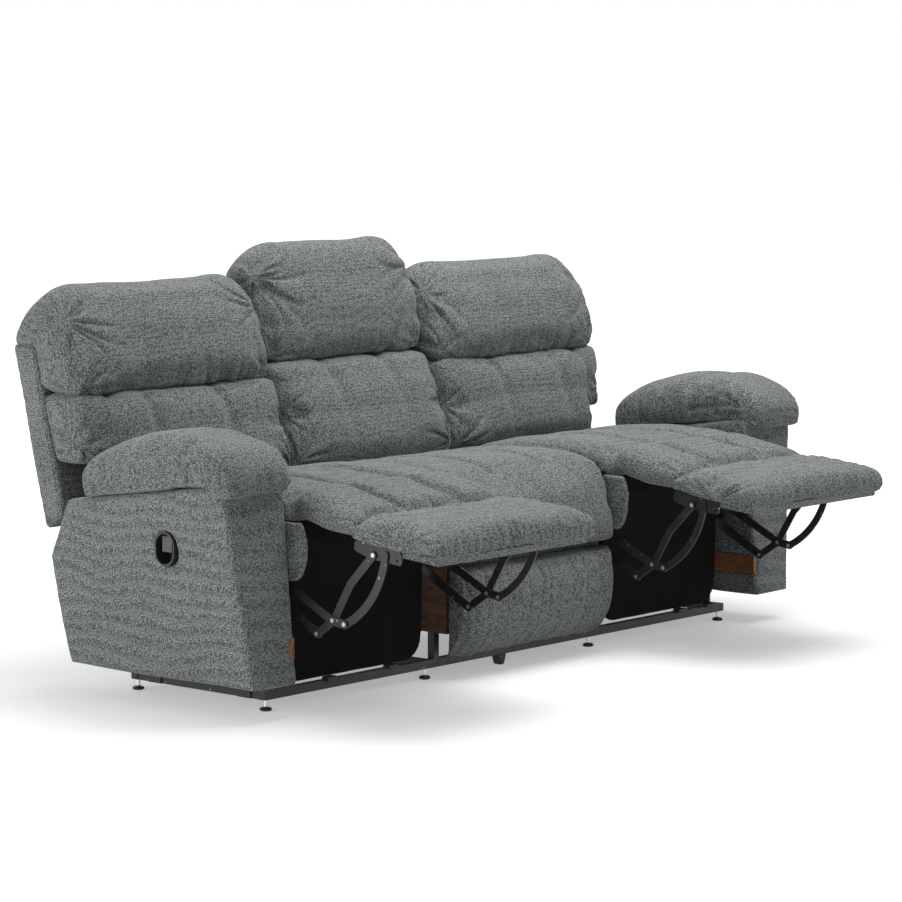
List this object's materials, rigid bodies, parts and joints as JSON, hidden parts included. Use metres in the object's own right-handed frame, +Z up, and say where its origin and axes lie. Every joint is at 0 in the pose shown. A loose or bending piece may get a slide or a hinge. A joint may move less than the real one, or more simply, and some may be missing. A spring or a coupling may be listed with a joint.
{
  "type": "reclining sofa",
  "caption": "Upholstered sofa with two end recliners, each with a linked footrest, bridge pad and tilting back, beside a fixed middle seat on a steel rail base.",
  "frame": {"origin": "on the floor, under the middle of the sofa's box with both footrests out", "axes": "+X along the sofa to the viewer's right, +Y from front to back, +Z up; the footrests point to -Y"},
  "size_m": [2.168, 1.2429, 1.02],
  "materials": {
    "upholstery": "charcoal tweed weave",
    "frame_wood": "bare sawn softwood and plywood",
    "black_steel": "black paint, satin",
    "black_underlining": "black non-woven lining cloth",
    "webbing": "woven elastic strap",
    "black_plastic": "moulded, fine grain",
    "lever_plastic": "grey moulded",
    "foot_plastic": "moulded"
  },
  "bodies": {
    "base": {"base_front_rail": "black_steel", "base_rear_rail": "black_steel", "base_side_rails": "black_steel", "base_posts": "black_steel", "glides": "foot_plastic", "left_arm_body": "upholstery", "right_arm_body": "upholstery", "left_arm_pad": "upholstery", "right_arm_pad": "upholstery", "handle_bezels": "black_plastic", "arm_inner_rails": "frame_wood", "middle_seat_sides": "frame_wood", "middle_front_rail": "frame_wood", "middle_front_pad": "upholstery", "middle_rear_rail": "frame_wood", "middle_straps": "webbing", "middle_cushion": "upholstery", "middle_back_frame": "upholstery", "middle_lumbar": "upholstery", "middle_headrest": "upholstery"},
    "left_carriage": {"left_side_plates": "black_steel", "left_seat_front_rail": "frame_wood", "left_seat_rear_rail": "frame_wood", "left_seat_straps": "webbing", "left_seat_cushion": "upholstery", "left_apron": "black_underlining", "left_side_bolsters": "upholstery"},
    "left_back": {"left_back_frame": "upholstery", "left_back_lumbar": "upholstery", "left_back_headrest": "upholstery", "left_back_brackets": "black_steel"},
    "left_drive": {"left_drive_frame": "black_steel"},
    "left_lift": {"left_lift_links": "black_steel"},
    "left_radius": {"left_radius_links": "black_steel"},
    "left_curved": {"left_curved_links": "black_steel"},
    "left_footrest": {"left_footrest_board": "upholstery", "left_footrest_brackets": "black_steel", "left_footrest_pad": "upholstery"},
    "left_bridge": {"left_bridge_pad": "upholstery"},
    "left_handle": {"left_handle_lever": "lever_plastic"},
    "right_carriage": {"right_side_plates": "black_steel", "right_seat_front_rail": "frame_wood", "right_seat_rear_rail": "frame_wood", "right_seat_straps": "webbing", "right_seat_cushion": "upholstery", "right_apron": "black_underlining", "right_side_bolsters": "upholstery"},
    "right_back": {"right_back_frame": "upholstery", "right_back_lumbar": "upholstery", "right_back_headrest": "upholstery", "right_back_brackets": "black_steel"},
    "right_drive": {"right_drive_frame": "black_steel"},
    "right_lift": {"right_lift_links": "black_steel"},
    "right_radius": {"right_radius_links": "black_steel"},
    "right_curved": {"right_curved_links": "black_steel"},
    "right_footrest": {"right_footrest_board": "upholstery", "right_footrest_brackets": "black_steel", "right_footrest_pad": "upholstery"},
    "right_bridge": {"right_bridge_pad": "upholstery"},
    "right_handle": {"right_handle_lever": "lever_plastic"}
  },
  "joints": [
    {"name": "left_carriage_slide", "type": "slide", "parent": "base", "child": "left_carriage", "axis": [0, -1, 0], "range_m": [-0.015, 0.025]},
    {"name": "left_recline", "type": "hinge", "parent": "left_carriage", "child": "left_back", "pos_m": [-0.58, 0.3969, 0.4], "axis": [-1, 0, 0], "range_deg": [-12, 20]},
    {"name": "left_legrest", "type": "hinge", "parent": "left_carriage", "child": "left_drive", "pos_m": [-0.58, -0.0921, 0.329], "axis": [1, 0, 0], "range_deg": [0, 89]},
    {"name": "left_lift_swing", "type": "hinge", "parent": "left_drive", "child": "left_lift", "pos_m": [-0.58, -0.2991, 0.227], "axis": [1, 0, 0], "range_deg": [-80, 0]},
    {"name": "left_radius_swing", "type": "hinge", "parent": "left_carriage", "child": "left_radius", "pos_m": [-0.58, -0.0431, 0.299], "axis": [1, 0, 0], "range_deg": [0, 91]},
    {"name": "left_curved_swing", "type": "hinge", "parent": "left_drive", "child": "left_curved", "pos_m": [-0.58, -0.3341, 0.222], "axis": [1, 0, 0], "range_deg": [-76, 0]},
    {"name": "left_footrest_swing", "type": "hinge", "parent": "left_lift", "child": "left_footrest", "pos_m": [-0.58, -0.4171, 0.384], "axis": [1, 0, 0], "range_deg": [0, 76]},
    {"name": "left_bridge_fold", "type": "hinge", "parent": "left_carriage", "child": "left_bridge", "pos_m": [-0.58, -0.1921, 0.477], "axis": [1, 0, 0], "range_deg": [0, 75]},
    {"name": "left_handle_pull", "type": "hinge", "parent": "base", "child": "left_handle", "pos_m": [-1.045, 0.0199, 0.4065], "axis": [0, 1, 0], "range_deg": [0, 25], "stiffness_Nm_per_rad": 0.6},
    {"name": "right_carriage_slide", "type": "slide", "parent": "base", "child": "right_carriage", "axis": [0, -1, 0], "range_m": [-0.015, 0.025]},
    {"name": "right_recline", "type": "hinge", "parent": "right_carriage", "child": "right_back", "pos_m": [0.58, 0.3969, 0.4], "axis": [-1, 0, 0], "range_deg": [-12, 20]},
    {"name": "right_legrest", "type": "hinge", "parent": "right_carriage", "child": "right_drive", "pos_m": [0.58, -0.0921, 0.329], "axis": [1, 0, 0], "range_deg": [0, 89]},
    {"name": "right_lift_swing", "type": "hinge", "parent": "right_drive", "child": "right_lift", "pos_m": [0.58, -0.2991, 0.227], "axis": [1, 0, 0], "range_deg": [-80, 0]},
    {"name": "right_radius_swing", "type": "hinge", "parent": "right_carriage", "child": "right_radius", "pos_m": [0.58, -0.0431, 0.299], "axis": [1, 0, 0], "range_deg": [0, 91]},
    {"name": "right_curved_swing", "type": "hinge", "parent": "right_drive", "child": "right_curved", "pos_m": [0.58, -0.3341, 0.222], "axis": [1, 0, 0], "range_deg": [-76, 0]},
    {"name": "right_footrest_swing", "type": "hinge", "parent": "right_lift", "child": "right_footrest", "pos_m": [0.58, -0.4171, 0.384], "axis": [1, 0, 0], "range_deg": [0, 76]},
    {"name": "right_bridge_fold", "type": "hinge", "parent": "right_carriage", "child": "right_bridge", "pos_m": [0.58, -0.1921, 0.477], "axis": [1, 0, 0], "range_deg": [0, 75]},
    {"name": "right_handle_pull", "type": "hinge", "parent": "base", "child": "right_handle", "pos_m": [1.045, 0.0199, 0.4065], "axis": [0, -1, 0], "range_deg": [0, 25], "stiffness_Nm_per_rad": 0.6}
  ],
  "couplings": [
    {"joint": "left_carriage_slide", "follows": "left_recline", "m_per_rad": 0.0716},
    {"joint": "left_lift_swing", "follows": "left_legrest", "ratio": -0.8611},
    {"joint": "left_radius_swing", "follows": "left_legrest", "ratio": 1.0082},
    {"joint": "left_curved_swing", "follows": "left_legrest", "ratio": -0.8265},
    {"joint": "left_footrest_swing", "follows": "left_legrest", "ratio": 0.8235},
    {"joint": "left_bridge_fold", "follows": "left_legrest", "ratio": 0.809},
    {"joint": "right_carriage_slide", "follows": "right_recline", "m_per_rad": 0.0716},
    {"joint": "right_lift_swing", "follows": "right_legrest", "ratio": -0.8611},
    {"joint": "right_radius_swing", "follows": "right_legrest", "ratio": 1.0082},
    {"joint": "right_curved_swing", "follows": "right_legrest", "ratio": -0.8265},
    {"joint": "right_footrest_swing", "follows": "right_legrest", "ratio": 0.8235},
    {"joint": "right_bridge_fold", "follows": "right_legrest", "ratio": 0.809}
  ]
}
